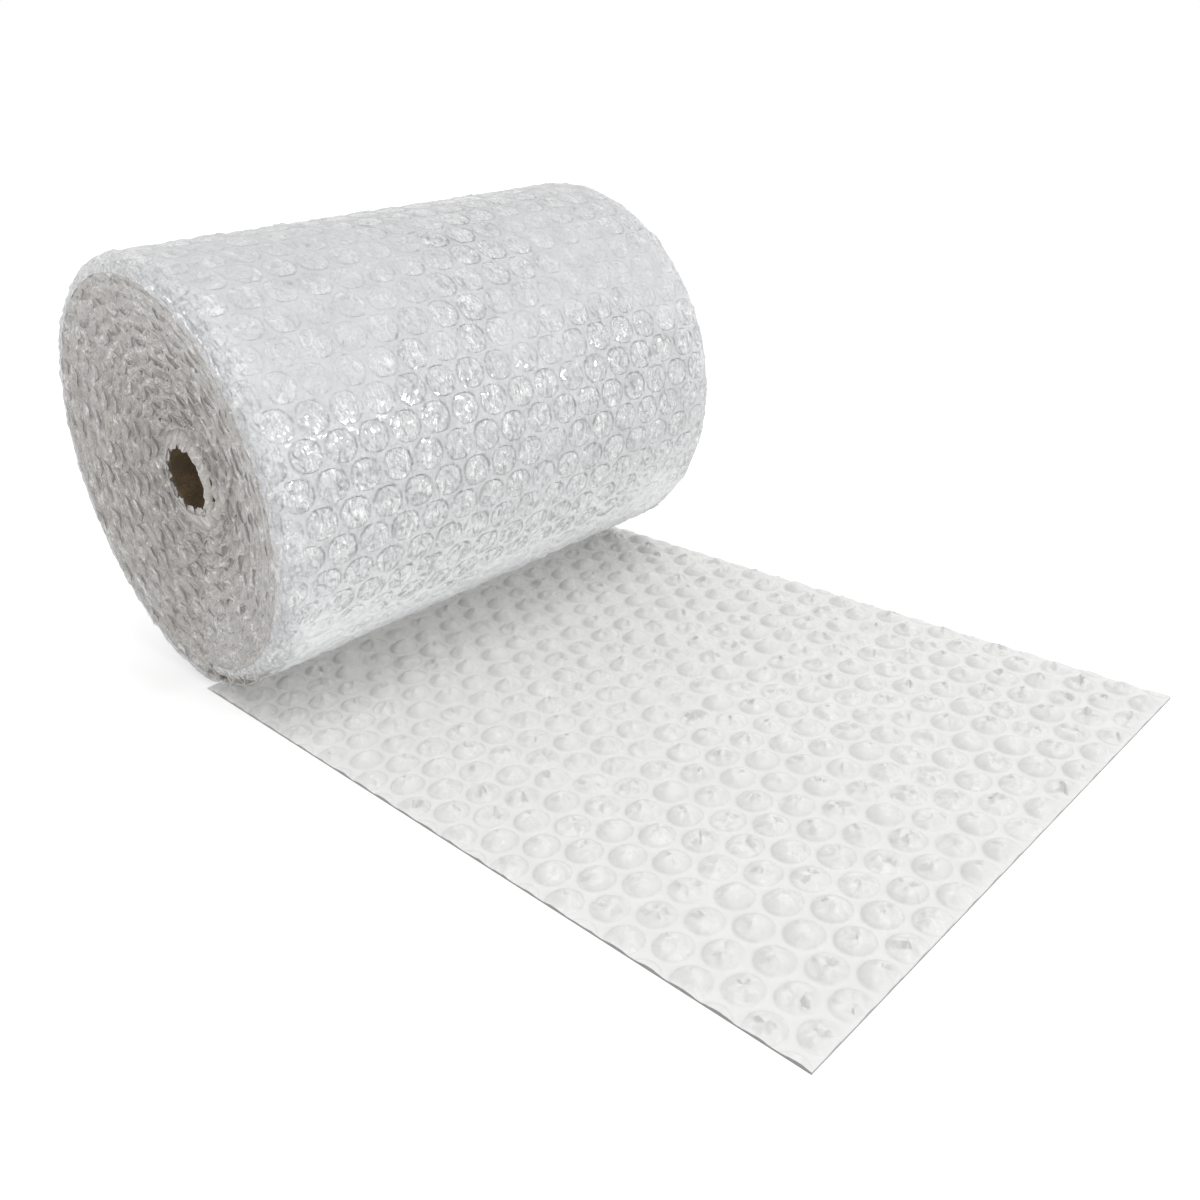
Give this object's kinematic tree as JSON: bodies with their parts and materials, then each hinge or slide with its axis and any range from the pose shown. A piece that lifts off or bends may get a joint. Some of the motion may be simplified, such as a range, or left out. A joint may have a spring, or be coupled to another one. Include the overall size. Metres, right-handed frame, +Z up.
{
  "type": "bubble wrap roll",
  "caption": "Roll of clear air-bubble cushioning film wound on a cardboard tube, lying on its side with its loose end laid out flat, bubbles up.",
  "frame": {"origin": "on the surface it lies on, under the middle of the whole object's box", "axes": "+X along the roll's axis, +Z up, and the loose end reaches towards -Y"},
  "size_m": [0.305, 0.5148, 0.2328],
  "materials": {
    "clear_film": "clear polyethylene film with air bubbles, glossy and crinkled, milky white in many layers",
    "tube_board": "plain brown spirally wound board"
  },
  "bodies": {
    "root": {"bubble_film": "clear_film", "core_tube": "tube_board"}
  },
  "joints": []
}
